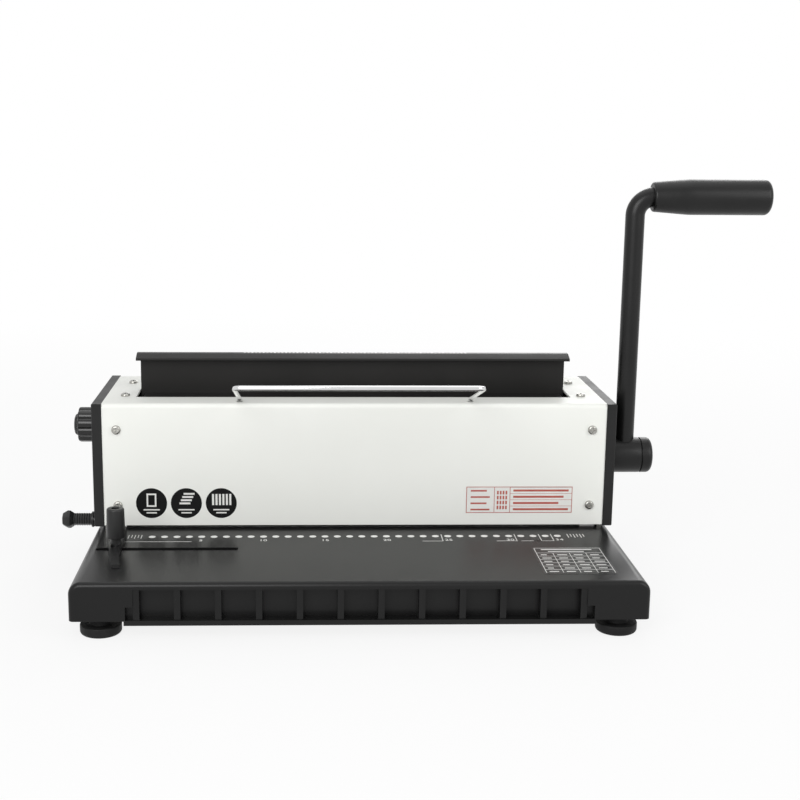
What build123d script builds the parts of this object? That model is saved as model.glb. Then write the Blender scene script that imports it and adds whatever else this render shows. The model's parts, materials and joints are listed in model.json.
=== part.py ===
from build123d import *
import math
import os

# A desk-top punch and closer for twin-loop binding wire, in millimetres, +X right, +Y to the rear, +Z up.
# It is drawn with X = 0 at the middle of the cover, Y = 0 on the front panel and Z = 0 on the paper table.
# At the end every piece is moved, so that the origin is the middle of the machine's box on the floor.

# --- fits, all radial or one-sided ---
press_fit = 0.02  # parts that are pressed, screwed or glued together
running_fit = 0.05  # shafts and rods that turn or slide in a bearing
slide_gap = 0.15  # flat or round pieces that slide past one another
loose_gap = 0.4  # holes that only let something through
cam_gap = 0.1  # between a cam and its follower

# --- cover, end caps and paper table ---
cover_half_w = 175.0
cover_depth = 104.6
sheet_t = 1.5
bend_r = 3.0
slot_h = 2.2  # free height of the paper slot under the front panel
rear_lip_h = 9.0
cap_t = 7.0
cap_proud = 0.5
cap_round = 1.0
cap_z0 = 1.5
table_depth = 114.8
base_half_w = 182.0
base_rear = 108.0
base_h = 25.1
base_wall = 2.8
base_round = 8.0
base_edge_round = 3.2
base_side_wall = 4.5

# --- front pockets of the base ---
rib_count = 12
rib_span = 280.0  # between the first and the last rib
rib_w = 4.0
rib_back = 1.0  # how far the ribs stand behind the front face
pocket_depth = 8.0
pocket_lip = 4.6  # from the table's top down to the pockets
flange_half_w = 147.8
flange_z0 = -27.9
flange_z1 = -24.6

# --- feet ---
foot_x = 164.0
foot_y_front = -100.0
foot_y_rear = 93.0
foot_r = 13.2
foot_neck_r = 7.0
foot_h = 12.4
foot_disc_h = 6.5
foot_round = 2.2
foot_recess_r = 3.8
foot_recess_h = 4.5

# --- screws ---
screw_r = 1.5
screw_head_r = 3.15
screw_head_h = 1.9
bolt_r = 2.0
bolt_head_r = 3.5
bolt_head_h = 3.6
screw_col_x = 165.2  # the screws of the front and rear panels
screw_low_z = 16.6
screw_high_z = 70.7
top_screw_x = 161.8
top_screw_front_y = 28.0
top_screw_rear_y = 75.5

# --- punching ---
hole_count = 34
hole_pitch = 8.4667
punch_r = 2.0
punch_head_r = 2.8
punch_head_h = 1.5
punch_y = 10.0
punch_rest = 0.4  # how far the punch ends stay above the paper slot
stroke = 12.0
die_gap = 2.6
die_t = 7.0
stripper_t = 6.6
rest_gap = 0.8  # left under the punch holder at the end of the stroke
holder_t = 5.5
holder_front = 4.8
holder_rear = 4.5
beam_t = 7.9
punch_end_margin = 9.3  # punch holder beyond the last punch

post_r = 4.0
spring_wire_r = 0.7
spring_mean_r = 5.6
spring_turns = 4
die_y1 = 33.0
stripper_y1 = 32.0
holder_screw_r = 1.2

# --- lever, shaft and press cams ---
lever_turn = math.radians(100.0)
shaft_y = 30.0
shaft_r = 7.0
cam_r0 = 10.0
cam_t = 8.0
cam_hub_r = 10.0
bush_wall = 3.0
bush_flange = 2.0
pin_r = 2.0
hub_r = 12.65
hub_len = 23.1
hub_groove = 0.6
hub_cap_t = 7.9
hub_cap_round = 3.5
rod_r = 6.7
rod_bend_r = 13.0
rod_out = 13.0  # from the end cap to the middle of the lever's rod
grip_z = 230.1
grip_x0 = 206.3
grip_len = 82.3
grip_r0 = 10.25
grip_r1 = 12.3
grip_taper = 25.0
grip_round = 4.0
grip_end = 6.8
grip_mouth = 2.4  # length of the wider mouth, which clears the end of the rod's bend
grip_mouth_gap = 0.5

# --- closing jaw and anvil ---
opening_margin = 21.2  # from the cover's side to the opening in its top
opening_front = 24.0
jaw_y = 48.5
jaw_t = 5.0
jaw_lip_reach = 8.5
jaw_lip_z = 22.9  # underside of the lip above the cover
jaw_nose_h = 1.8
jaw_top_h = 4.4
jaw_lip_over = 2.4  # lip beyond each end of the plate
jaw_gap = 0.8
spindle_rise = 20.9
spindle_dy = 6.0
spindle_r = 4.0
gap_cam_r0 = 5.5
gap_cam_t = 6.0
gap_cam_x = 113.0
gap_turn = math.radians(270.0)
anvil_rise = 6.0
anvil_h = 14.8
anvil_flange_t = 4.0
anvil_front = 26.5
anvil_rear = 46.5
anvil_web = 8.0
tongue_half_w = 3.0
anvil_below = 2.1  # anvil's top below the cover's top

# --- knobs on the left end ---
gap_knob_r = 12.6
gap_knob_len = 13.4
gap_boss_r = 8.0
gap_boss_h = 3.0
gap_lobes = 10
margin_y_step = 7.0  # from the punches to the margin rod
margin_z = 1.6
margin_r = 3.5
margin_flat = 2.0
margin_neck_r = 2.0
margin_gap = 2.5
margin_shank_r = 4.65
margin_head_r = 6.5
margin_knob_len = 22.2
margin_head_t = 6.7

# --- edge guide ---
guide_x = -160.5
guide_y = -47.0
guide_slot_x0 = -174.4
guide_slot_x1 = -79.4
guide_slot_w = 5.0
guide_plate_t = 2.5
guide_wall_t = 1.6
guide_wall_h = 7.4
guide_tongue_y = -86.5
guide_tongue_w = 5.4
guide_tip_x = -155.9  # middle of the tongue's end
guide_neck_y = -62.0
guide_neck_w = 6.0
guide_fence_x = -156.9
guide_fence_y = -20.6
guide_left_x = -167.6
guide_left_y = -38.0
guide_left_h = 5.1
guide_screw_r = 2.0
guide_knob_z0 = 8.5
guide_knob_z1 = 28.5
guide_knob_r0 = 6.3
guide_knob_r1 = 5.8

# --- wire rack ---
rack_x = 80.5
rack_y = 9.5
rack_wire_r = 1.7
rack_depth = 11.9
rack_stem = 5.5  # straight part above the cover
rack_front_y = -62.0
rack_bar_h = 23.5
rack_bend_r = 8.0
socket_r = 4.0
socket_floor = 2.0

# --- chip tray, die well and bottom plate ---
well_wall = 2.0
plate_t = 1.2
tray_half_w = 149.6
tray_front = 4.0
tray_wall = 1.8
tray_tab_w = 40.0
tray_tab_l = 5.0
tray_tab_t = 2.4

# --- frame plates ---
frame_t = 3.0
flange_w = 14.0
tie_y = 80.0
tie_r = 5.0
tie_end_r = 3.0
peg_r = 2.5

# --- levels and places that follow from the sizes above ---
stripper_z1 = die_gap + stripper_t
holder_z0 = stripper_z1 + rest_gap + stroke
holder_z1 = holder_z0 + holder_t
beam_z1 = holder_z1 + beam_t
shaft_z = beam_z1 + cam_gap + cam_r0
spindle_y = shaft_y + spindle_dy
spindle_z = shaft_z + spindle_rise
anvil_z0 = spindle_z + gap_cam_r0 + cam_gap
anvil_z1 = anvil_z0 + anvil_h
cover_top = anvil_z1 + anvil_below
sheet_z = cover_top - sheet_t
cap_x = cover_half_w + cap_t
frame_x1 = cover_half_w - loose_gap
frame_x0 = frame_x1 - frame_t
flange_x0 = frame_x0 - flange_w
frame_rear = cover_depth - sheet_t
opening_half_w = cover_half_w - opening_margin
opening_rear = jaw_y + jaw_t + 1.0
jaw_half_w = opening_half_w - jaw_gap
anvil_half_w = jaw_half_w - 3.0
beam_half_w = frame_x0 - 5.6
plate_half_w = frame_x0 - 1.2
pad_x0 = plate_half_w - 10.4
cam_x0 = opening_half_w + 2.2
cam_x1 = cam_x0 + cam_t
collar_x = frame_x0 - bush_flange - loose_gap
pin_x = cam_x1 + 2.6
post_x = opening_half_w - 3.8
post_top = shaft_z - shaft_r - 1.5
margin_y = punch_y + margin_y_step
post_y = margin_y + margin_r + post_r + 0.6
plate_y0 = sheet_t + frame_t + 0.3
well_half_w = plate_half_w + loose_gap
well_y0 = plate_y0 - 2.2
well_y1 = die_y1 + loose_gap
die_bolt_x = plate_half_w - 5.4
die_bolt_y = (punch_y, die_y1 - 5.5)
hub_x0 = cap_x + 0.5
hub_x1 = hub_x0 + hub_len
rod_x = cap_x + rod_out
grip_x1 = grip_x0 + grip_len
margin_x0 = -(cap_x + margin_gap + margin_knob_len)
wing_x = tray_half_w + 1.4
plate_x = wing_x + 7.0
plate_screw_x = wing_x + 3.4
tray_z0 = -base_h + slide_gap
tray_z1 = -(die_t + base_wall + 0.8)
tray_rear = base_rear - 0.6
tray_tab_y = tray_rear + tray_tab_l
tray_opening = tray_half_w + 0.6
rib_pitch = rib_span / (rib_count - 1)
floor_z = -(base_h + foot_h)
punch_xs = [(i - (hole_count - 1) / 2) * hole_pitch for i in range(hole_count)]
holder_half_w = punch_xs[-1] + punch_end_margin
holder_screw_xs = [i * 5 * hole_pitch for i in range(-3, 4)]
jaw_bolt_xs = [(i - 2.5) * jaw_half_w / 3 for i in range(6)]
jaw_bolt_z = holder_z1 + beam_t / 2
sides = (-1, 1)


def block(x0, x1, y0, y1, z0, z1):
    return Pos((x0 + x1) / 2, (y0 + y1) / 2, (z0 + z1) / 2) * Box(x1 - x0, y1 - y0, z1 - z0)


def rod_along_x(r, x0, x1, y, z):
    return Pos((x0 + x1) / 2, y, z) * Rot(0, 90, 0) * Cylinder(r, x1 - x0)


def rod_along_y(r, y0, y1, x, z):
    return Pos(x, (y0 + y1) / 2, z) * Rot(90, 0, 0) * Cylinder(r, y1 - y0)


def rod_along_z(r, z0, z1, x, y):
    return Pos(x, y, (z0 + z1) / 2) * Cylinder(r, z1 - z0)


def mirrored(shape, side):
    # A piece drawn for the right end (+X), or its mirror image for the left end.
    return shape if side > 0 else mirror(shape, Plane.YZ)


def both_ends(shape):
    return shape + mirrored(shape, -1)


def group(shapes):
    # Separate solids that share one node.
    return Compound(list(shapes))


def profile_along_x(points, x0, x1):
    # A closed outline in Y and Z, drawn out along X.
    face = make_face(Polyline(*[(0, y, z) for y, z in points], close=True))
    return Pos(x0, 0, 0) * extrude(face, amount=x1 - x0, dir=(1, 0, 0))


def pan_screw(length):
    # Head above Z = 0 with a cross recess, shank below.
    head = Cylinder(screw_head_r, screw_head_h, align=(Align.CENTER, Align.CENTER, Align.MIN))
    head = fillet(head.edges().group_by(Axis.Z)[-1], screw_head_h * 0.6)
    slot_l, slot_w, slot_d = screw_head_r * 1.15, screw_head_r * 0.28, screw_head_h * 0.6
    for turn in (0, 90):
        head -= Pos(0, 0, screw_head_h) * Rot(0, 0, turn) * Box(slot_l, slot_w, 2 * slot_d)
    return head + rod_along_z(screw_r, -length, 0, 0, 0)


def cap_bolt(length):
    # Socket head above Z = 0, shank below.
    head = rod_along_z(bolt_head_r, 0, bolt_head_h, 0, 0)
    head -= extrude(Pos(0, 0, bolt_head_h) * RegularPolygon(bolt_r * 0.9, 6), amount=-bolt_head_h / 2)
    return head + rod_along_z(bolt_r, -length, 0, 0, 0)


def screw_hole(r, depth):
    return rod_along_z(r, -depth, screw_head_h, 0, 0)


def panel_screw_places(y, turn):
    # The four places on a panel, with the screw's shank turned to point into the panel.
    places = []
    for side in sides:
        for z in (screw_low_z, screw_high_z):
            places.append(Pos(side * screw_col_x, y, z) * Rot(turn, 0, 0))
    return places


def top_screw_places():
    places = []
    for side in sides:
        for y in (top_screw_front_y, top_screw_rear_y):
            places.append(Pos(side * top_screw_x, y, cover_top))
    return places


front_screw_places = panel_screw_places(0, 90)
rear_screw_places = panel_screw_places(cover_depth, -90)
front_screw_len = sheet_t + frame_t + 0.3
rear_screw_len = sheet_t + frame_t + 1.5
top_screw_len = sheet_t + 2 * frame_t + 1.0
frame_screw_places = [Pos(s * (flange_x0 + 7.0), y, frame_t) for s in sides for y in (60.0, 88.0)]
frame_screw_len = 12.0
foot_places = [(s * foot_x, y) for y in (foot_y_front, foot_y_rear) for s in sides]
foot_screw_z = floor_z + foot_recess_h
foot_screw_len = 21.0
plate_screw_places = [(s * plate_screw_x, y) for s in sides for y in (-60.0, 0.0, 60.0)]
plate_screw_len = 8.0
peg_places = [(12.0, cover_top - 12.0), (92.0, cover_top - 12.0), (92.0, 12.0)]
tie_places = [(tie_y, 20.0), (tie_y, sheet_z - 18.0)]


def cam_outline(r0, slope, turn, start, way):
    # A flat follower sees the height r0 + slope * angle. The curve is height * n + slope * n', with n the
    # direction that faces the follower at that angle, start its angle at rest and way its sense of turn.
    steps = 24
    points = []
    for i in range(steps + 1):
        angle = turn * i / steps
        height = r0 + slope * angle
        heading = start + way * angle
        y = height * math.cos(heading) - way * slope * math.sin(heading)
        z = height * math.sin(heading) + way * slope * math.cos(heading)
        points.append((0, y, z))
    return points


def cam_plate(points, back, x0, x1):
    # The working curve through the points, closed by the lines and arcs of its back.
    face = make_face(Spline(*points) + back)
    return Pos(x0, 0, 0) * extrude(face, amount=x1 - x0, dir=(1, 0, 0))


# ---------------------------------------------------------------- base
def base_outside():
    shell = block(-base_half_w, base_half_w, -table_depth, base_rear, -base_h, 0)
    long_edges = shell.edges().filter_by(Axis.Y).group_by(Axis.Z)[-1]
    shell = fillet(long_edges, base_round)
    front = shell.faces().sort_by(Axis.Y)[0]
    shell = fillet(front.edges().filter_by(lambda e: e.center().Z > -base_h / 2), base_edge_round)
    return shell


def base_front_pockets():
    bays = Part()
    z1 = -pocket_lip
    back = -table_depth + pocket_depth
    for i in range(rib_count - 1):
        x0 = -rib_span / 2 + i * rib_pitch + rib_w / 2
        bays += block(x0, x0 + rib_pitch - rib_w, -table_depth - 1, back, flange_z1, z1)
    for side in sides:
        x0 = rib_span / 2 + rib_w / 2
        narrow = block(x0, flange_half_w - 1.0, -table_depth - 1, back - 3.0, flange_z1, z1 - 11.2)
        bays += mirrored(narrow, side)
    # The ribs stand a little behind the front face, with a gap over their rounded tops.
    ribs_front = block(-rib_span / 2 - rib_w / 2, rib_span / 2 + rib_w / 2, -table_depth - 1,
                       -table_depth + rib_back, flange_z1, z1)
    return bays + ribs_front


def base_shell():
    shell = base_outside()
    shell += block(-flange_half_w, flange_half_w, -table_depth, -table_depth + pocket_depth + base_wall,
                   flange_z0, flange_z1 + 1.0)
    inside_x = base_half_w - base_side_wall
    front_y = -table_depth + pocket_depth + base_wall
    rear_y = base_rear - base_wall
    shell -= block(-inside_x, inside_x, front_y, rear_y, -base_h + base_wall, -base_wall)
    shell -= block(-wing_x, wing_x, front_y, rear_y, -base_h - 1, -base_wall)
    shell -= base_front_pockets()
    # well that holds the die, with a window for the paper chips
    shell += block(-well_half_w - well_wall, well_half_w + well_wall, well_y0 - well_wall,
                   well_y1 + well_wall, -die_t - base_wall, -base_wall)
    shell -= block(-well_half_w, well_half_w, well_y0, well_y1, -die_t, 1)
    shell -= block(-holder_half_w, holder_half_w, punch_y - 5, punch_y + 6, -die_t - base_wall - 1, 0)
    # bosses and their pilot holes
    for x, y in foot_places:
        shell += rod_along_z(8.0, -base_h, -base_wall, x, y)
        shell -= rod_along_z(screw_r + press_fit, -base_h - 1, -base_wall - 1, x, y)
    for place in frame_screw_places:
        shell += place * Pos(0, 0, -frame_t) * rod_along_z(4.0, -10.0, -base_wall, 0, 0)
        shell -= place * screw_hole(screw_r + press_fit, frame_screw_len + 0.5)
    for side in sides:
        for y in die_bolt_y:
            shell += rod_along_z(4.5, -die_t - 9.0, -die_t - base_wall, side * die_bolt_x, y)
            shell -= rod_along_z(bolt_r + press_fit, -die_t - 8.0, 0, side * die_bolt_x, y)
    for x, y in plate_screw_places:
        shell += rod_along_z(3.2, -base_h, -base_h + 9.0, x + math.copysign(0.6, x), y)
        shell -= rod_along_z(screw_r + press_fit, -base_h - 1, -base_h + plate_screw_len, x, y)
    # slot of the edge guide, way out of the chip tray, and groove of the margin rod
    slot_l = guide_slot_x1 - guide_slot_x0
    slot = SlotOverall(slot_l, guide_slot_w)
    shell -= Pos(guide_slot_x0 + slot_l / 2, guide_y, -base_wall - 1) * extrude(slot, amount=base_wall + 2)
    shell -= block(-tray_opening, tray_opening, rear_y - 1, base_rear + 1, -base_h - 1, tray_z1 + 0.4)
    shell -= rod_along_x(margin_neck_r + 0.5, -base_half_w - 1, -well_half_w + 1, margin_y, margin_z)
    return shell


def bottom_plate():
    plate = block(-plate_x, plate_x, -table_depth + pocket_depth + base_wall + 1.4, base_rear - 4,
                  -base_h - plate_t, -base_h)
    for x, y in foot_places:
        plate -= rod_along_z(foot_neck_r + 1.5, -base_h - 3, -base_h + 1, x, y)
    for x, y in plate_screw_places:
        plate -= rod_along_z(screw_r + 0.2, -base_h - 3, -base_h + 1, x, y)
    return plate


def plate_screws():
    turned = Rot(180, 0, 0) * pan_screw(plate_screw_len)
    return [Pos(x, y, -base_h - plate_t) * turned for x, y in plate_screw_places]


def foot(x, y):
    disc = rod_along_z(foot_r, floor_z, floor_z + foot_disc_h, 0, 0)
    disc = fillet(disc.edges().group_by(Axis.Z)[0], foot_round)
    disc = fillet(disc.edges().group_by(Axis.Z)[-1], 0.6)
    piece = disc + rod_along_z(foot_neck_r, floor_z + foot_disc_h, -base_h, 0, 0)
    piece -= rod_along_z(foot_recess_r, floor_z - 1, foot_screw_z, 0, 0)
    piece -= rod_along_z(screw_r + 0.2, floor_z, -base_h + 1, 0, 0)
    return Pos(x, y, 0) * piece


def foot_screws():
    turned = Rot(180, 0, 0) * pan_screw(foot_screw_len)
    return [Pos(x, y, foot_screw_z) * turned for x, y in foot_places]


def chip_tray():
    tray = block(-tray_half_w, tray_half_w, tray_front, tray_rear, tray_z0, tray_z1)
    tray -= block(-tray_half_w + tray_wall, tray_half_w - tray_wall, tray_front + tray_wall,
                  tray_rear - tray_wall, tray_z0 + tray_wall, tray_z1 + 1)
    tab = block(-tray_tab_w / 2, tray_tab_w / 2, tray_rear, tray_tab_y, tray_z1 - tray_tab_t, tray_z1)
    tab = fillet(tab.edges().filter_by(Axis.Z).group_by(Axis.Y)[-1], tray_tab_l - 1.0)
    return tray + tab


# ---------------------------------------------------------------- frame
def frame_plate():
    plate = block(frame_x0, frame_x1, sheet_t, frame_rear, 0, sheet_z)
    plate = fillet(plate.edges().filter_by(Axis.X).group_by(Axis.Z)[-1], bend_r)
    plate += block(flange_x0, frame_x0, sheet_t, sheet_t + frame_t, slot_h, sheet_z - frame_t)
    plate += block(flange_x0, frame_x0, frame_rear - frame_t, frame_rear, slot_h, sheet_z - frame_t)
    top_x0 = opening_half_w + 2.0
    plate += block(top_x0, frame_x0, opening_front - 4, frame_rear - 17, sheet_z - frame_t, sheet_z)
    plate += block(flange_x0, frame_x0, jaw_y + 1.5, frame_rear - 8, 0, frame_t)
    plate -= block(frame_x0 - 1, frame_x1 + 1, 58, frame_rear - 18, 30, sheet_z - 26)
    plate -= rod_along_x(shaft_r + bush_wall + press_fit, frame_x0 - 1, frame_x1 + 1, shaft_y, shaft_z)
    plate -= rod_along_x(spindle_r + 2 + press_fit, frame_x0 - 1, frame_x1 + 1, spindle_y, spindle_z)
    for y, z in tie_places:
        plate -= rod_along_x(tie_end_r + press_fit, frame_x0 - 1, frame_x1 + 1, y, z)
    for y, z in peg_places:
        plate -= rod_along_x(peg_r + press_fit, frame_x0 - 1, frame_x1 + 1, y, z)
    for place in front_screw_places + rear_screw_places + top_screw_places():
        plate -= place * screw_hole(screw_r + press_fit, 12.0)
    for place in frame_screw_places:
        plate -= place * screw_hole(screw_r + 0.2, frame_t + 1)
    return plate


def frame_side(side):
    piece = mirrored(frame_plate(), side)
    if side < 0:
        piece -= rod_along_x(margin_neck_r + 0.5, -frame_x1 - 1, -frame_x0 + 1, margin_y, margin_z)
        piece -= block(-frame_x1 - 1, -frame_x0 + 1, margin_y - 2.5, margin_y + 2.5, -1, margin_z)
    return piece


def tie_rods():
    rods = []
    for y, z in tie_places:
        rod = rod_along_x(tie_r, -frame_x0, frame_x0, y, z)
        rods.append(rod + rod_along_x(tie_end_r, -frame_x1 + 0.2, frame_x1 - 0.2, y, z))
    return rods


def shaft_bush():
    bush = rod_along_x(shaft_r + bush_wall, frame_x0, frame_x1, shaft_y, shaft_z)
    bush += rod_along_x(shaft_r + bush_wall + 2.5, frame_x0 - bush_flange, frame_x0, shaft_y, shaft_z)
    return bush - rod_along_x(shaft_r + running_fit, frame_x0 - 5, frame_x1 + 1, shaft_y, shaft_z)


def spindle_bush():
    bush = rod_along_x(spindle_r + 2, frame_x0, frame_x1, spindle_y, spindle_z)
    bush += rod_along_x(spindle_r + 4, frame_x0 - 1, frame_x0, spindle_y, spindle_z)
    return bush - rod_along_x(spindle_r + running_fit, frame_x0 - 5, frame_x1 + 1, spindle_y, spindle_z)


def anvil_bracket():
    # An angle under the frame's top flange; the anvil's tongue slides in its open slot.
    leg_z1 = sheet_z - frame_t
    leg = block(anvil_half_w + 1, anvil_half_w + 4, spindle_y - 8, spindle_y + 8, spindle_z - 8, leg_z1)
    leg += block(anvil_half_w + 4, frame_x0 - 3.6, opening_front - 2, spindle_y + 8, leg_z1 - frame_t, leg_z1)
    leg += block(anvil_half_w + 1, anvil_half_w + 4, opening_front - 2, spindle_y - 8, leg_z1 - frame_t, leg_z1)
    half_slot = tongue_half_w + slide_gap
    leg -= block(anvil_half_w, anvil_half_w + 5, spindle_y - half_slot, spindle_y + half_slot,
                 anvil_z0 + 1, leg_z1 + 1)
    leg -= rod_along_x(spindle_r + loose_gap, anvil_half_w, anvil_half_w + 5, spindle_y, spindle_z)
    for place in top_screw_places():
        leg -= place * screw_hole(screw_r + press_fit, 12.0)
    return leg


# ---------------------------------------------------------------- covers
def front_cover():
    # One sheet bent over the front, the top and the rear edge.
    outer = block(-cover_half_w, cover_half_w, 0, cover_depth, slot_h, cover_top)
    outer = fillet(outer.edges().filter_by(Axis.X).group_by(Axis.Z)[-1], bend_r)
    inner = block(-cover_half_w - 1, cover_half_w + 1, sheet_t, cover_depth - sheet_t, slot_h - 1, sheet_z)
    inner = fillet(inner.edges().filter_by(Axis.X).group_by(Axis.Z)[-1], bend_r - sheet_t)
    cover = outer - inner
    cover -= block(-cover_half_w - 1, cover_half_w + 1, cover_depth - sheet_t - 1, cover_depth + 1,
                   slot_h - 1, cover_top - rear_lip_h)
    cover -= block(-opening_half_w, opening_half_w, opening_front, opening_rear, sheet_z - 1, cover_top + 1)
    for side in sides:
        cover -= rod_along_z(rack_wire_r + 0.7, sheet_z - 1, cover_top + 1, side * rack_x, rack_y)
    for place in front_screw_places + top_screw_places():
        cover -= place * screw_hole(screw_r + 0.2, 4.0)
    return cover


def rear_cover():
    sheet = block(-cover_half_w, cover_half_w, cover_depth - sheet_t, cover_depth, slot_h,
                  cover_top - rear_lip_h - 0.3)
    for place in rear_screw_places:
        sheet -= place * screw_hole(screw_r + 0.2, 4.0)
    return sheet


def end_cap(side):
    cap = block(cover_half_w, cap_x, -cap_proud, cover_depth + cap_proud, cap_z0, cover_top)
    cap = fillet(cap.faces().sort_by(Axis.X)[-1].edges(), cap_round)
    for y, z in peg_places:
        cap += rod_along_x(peg_r, frame_x0 + 0.2, cover_half_w, y, z)
    if side > 0:
        cap -= rod_along_x(shaft_r + 0.6, cover_half_w - 1, cap_x + 1, shaft_y, shaft_z)
        return cap
    cap = mirrored(cap, side)
    cap -= rod_along_x(spindle_r + loose_gap, -cap_x - 1, -cover_half_w + 1, spindle_y, spindle_z)
    cap -= rod_along_x(margin_neck_r + 0.5, -cap_x - 1, -cover_half_w + 1, margin_y, margin_z)
    cap -= block(-cap_x - 1, -cover_half_w + 1, margin_y - 2.5, margin_y + 2.5, 0, margin_z)
    return cap


def rack_socket(side):
    socket = rod_along_z(socket_r, sheet_z - rack_depth - socket_floor, sheet_z, 0, 0)
    socket += rod_along_z(socket_r + 2, sheet_z - 1.2, sheet_z, 0, 0)
    socket -= rod_along_z(rack_wire_r + 0.2, sheet_z - rack_depth + 0.6, sheet_z + 1, 0, 0)
    return Pos(side * rack_x, rack_y, 0) * socket


# ---------------------------------------------------------------- punching block
def punch_row(r, z0, z1):
    return [rod_along_z(r, z0, z1, x, punch_y) for x in punch_xs]


def die_plate():
    plate = block(-plate_half_w, plate_half_w, plate_y0 - 1.8, die_y1, -die_t, 0)
    plate -= punch_row(punch_r + slide_gap, -die_t - 1, 1)
    return cut_for_rods(plate, -die_t - 1, 1)


def stripper_plate():
    plate = block(-plate_half_w, plate_half_w, plate_y0, stripper_y1, die_gap, stripper_z1)
    plate -= punch_row(punch_r + slide_gap, die_gap - 1, stripper_z1 + 1)
    return cut_for_rods(plate, -1, stripper_z1 + 1)


def die_spacers():
    # They hold the stripper above the die, and carry the margin rod.
    spacer = both_ends(block(pad_x0, plate_half_w, plate_y0, stripper_y1, 0, die_gap))
    return cut_for_rods(spacer, -1, die_gap + 1)


def cut_for_rods(plate, z0, z1):
    # The die, its spacers and the stripper share the margin rod's groove and bearings, the posts and the bolts.
    plate -= rod_along_x(margin_r + 0.2, -pad_x0, pad_x0, margin_y, margin_z)
    plate -= rod_along_x(margin_r + running_fit, -plate_half_w - 1, plate_half_w + 1, margin_y, margin_z)
    for side in sides:
        plate -= rod_along_z(post_r + press_fit, z0, z1, side * post_x, post_y)
        for y in die_bolt_y:
            plate -= rod_along_z(bolt_r + 0.2, z0, z1, side * die_bolt_x, y)
    return plate


def die_bolts():
    bolt = cap_bolt(stripper_z1 + die_t + 7.0)
    return [Pos(s * die_bolt_x, y, stripper_z1) * bolt for s in sides for y in die_bolt_y]


def guide_post(side):
    post = rod_along_z(post_r, -die_t + 0.2, post_top, 0, 0)
    post = chamfer(post.edges().group_by(Axis.Z)[-1], 0.6)
    return Pos(side * post_x, post_y, 0) * post


def return_spring(side):
    height = holder_z1 - stripper_z1 - 2 * spring_wire_r - 0.1
    path = Helix(pitch=height / spring_turns, height=height, radius=spring_mean_r)
    section = Plane(path @ 0, z_dir=path % 0) * Circle(spring_wire_r)
    spring = sweep(section, path=path, is_frenet=True)
    return Pos(side * post_x, post_y, stripper_z1 + spring_wire_r + 0.05) * spring


def punches():
    shank = punch_row(punch_r, die_gap + punch_rest, holder_z1 - punch_head_h / 2)
    head = punch_row(punch_head_r, holder_z1 - punch_head_h, holder_z1)
    return [a + b for a, b in zip(shank, head)]


def holder_screw():
    head = rod_along_z(2.3, beam_z1 - 2.7, beam_z1 - 0.3, 0, 0)
    head -= extrude(Pos(0, 0, beam_z1 - 0.3) * RegularPolygon(1.1, 6), amount=-1.3)
    return head + rod_along_z(holder_screw_r, holder_z0 + 0.5, beam_z1 - 2.6, 0, 0)


def holder_screws():
    return [Pos(x, punch_y, 0) * holder_screw() for x in holder_screw_xs]


def punch_holder():
    holder = block(-holder_half_w, holder_half_w, punch_y - holder_front, punch_y + holder_rear,
                   holder_z0, holder_z1)
    holder -= punch_row(punch_r + press_fit, holder_z0 - 1, holder_z1)
    holder -= punch_row(punch_head_r + press_fit, holder_z1 - punch_head_h - press_fit, holder_z1 + 1)
    for x in holder_screw_xs:
        holder -= rod_along_z(holder_screw_r + press_fit, holder_z0, holder_z1 + 1, x, punch_y)
    return holder


def press_beam():
    beam = block(-beam_half_w, beam_half_w, punch_y - holder_front, jaw_y, holder_z1, beam_z1)
    for side in sides:
        beam -= rod_along_z(post_r + running_fit, holder_z1 - 1, beam_z1 + 1, side * post_x, post_y)
    for x in holder_screw_xs:
        beam -= rod_along_z(2.4, beam_z1 - 2.7, beam_z1 + 1, x, punch_y)
        beam -= rod_along_z(holder_screw_r + 0.2, holder_z1 - 1, beam_z1, x, punch_y)
    for x in jaw_bolt_xs:
        beam -= rod_along_y(bolt_r + press_fit, jaw_y - 13, jaw_y + 1, x, jaw_bolt_z)
    return beam


def jaw_plate():
    lip_z0 = cover_top + jaw_lip_z
    lip_z1 = lip_z0 + jaw_top_h
    nose_y = jaw_y - jaw_lip_reach
    rear_y = jaw_y + jaw_t
    plate = block(-jaw_half_w, jaw_half_w, jaw_y, rear_y, holder_z0, lip_z0 + 1)
    outline = [(rear_y, lip_z0), (nose_y, lip_z0), (nose_y, lip_z0 + jaw_nose_h), (jaw_y - 1, lip_z1),
               (rear_y, lip_z1)]
    lip = profile_along_x(outline, -jaw_half_w - jaw_lip_over, jaw_half_w + jaw_lip_over)
    nose = lip.edges().filter_by(Axis.X).group_by(Axis.Y)[0]
    lip = fillet(nose, 0.7)
    upper = lip.edges().filter_by(Axis.X).group_by(Axis.Z)[-1]
    lip = fillet(upper, 1.6)
    jaw = plate + lip
    for x in jaw_bolt_xs:
        jaw -= rod_along_y(bolt_r + 0.2, jaw_y - 1, rear_y + 1, x, jaw_bolt_z)
    return jaw


def jaw_bolts():
    bolt = Rot(-90, 0, 0) * cap_bolt(jaw_t + 12.0)
    return [Pos(x, jaw_y + jaw_t, jaw_bolt_z) * bolt for x in jaw_bolt_xs]


# ---------------------------------------------------------------- lever
def main_shaft():
    shaft = rod_along_x(shaft_r, -frame_x1 + 0.2, hub_x1 - 0.8, shaft_y, shaft_z)
    shaft = chamfer(shaft.edges().group_by(Axis.X)[0] + shaft.edges().group_by(Axis.X)[-1], 0.8)
    for side in sides:
        shaft -= rod_along_y(pin_r + press_fit, shaft_y - 12, shaft_y + 12, side * pin_x, shaft_z)
    return shaft


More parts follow.
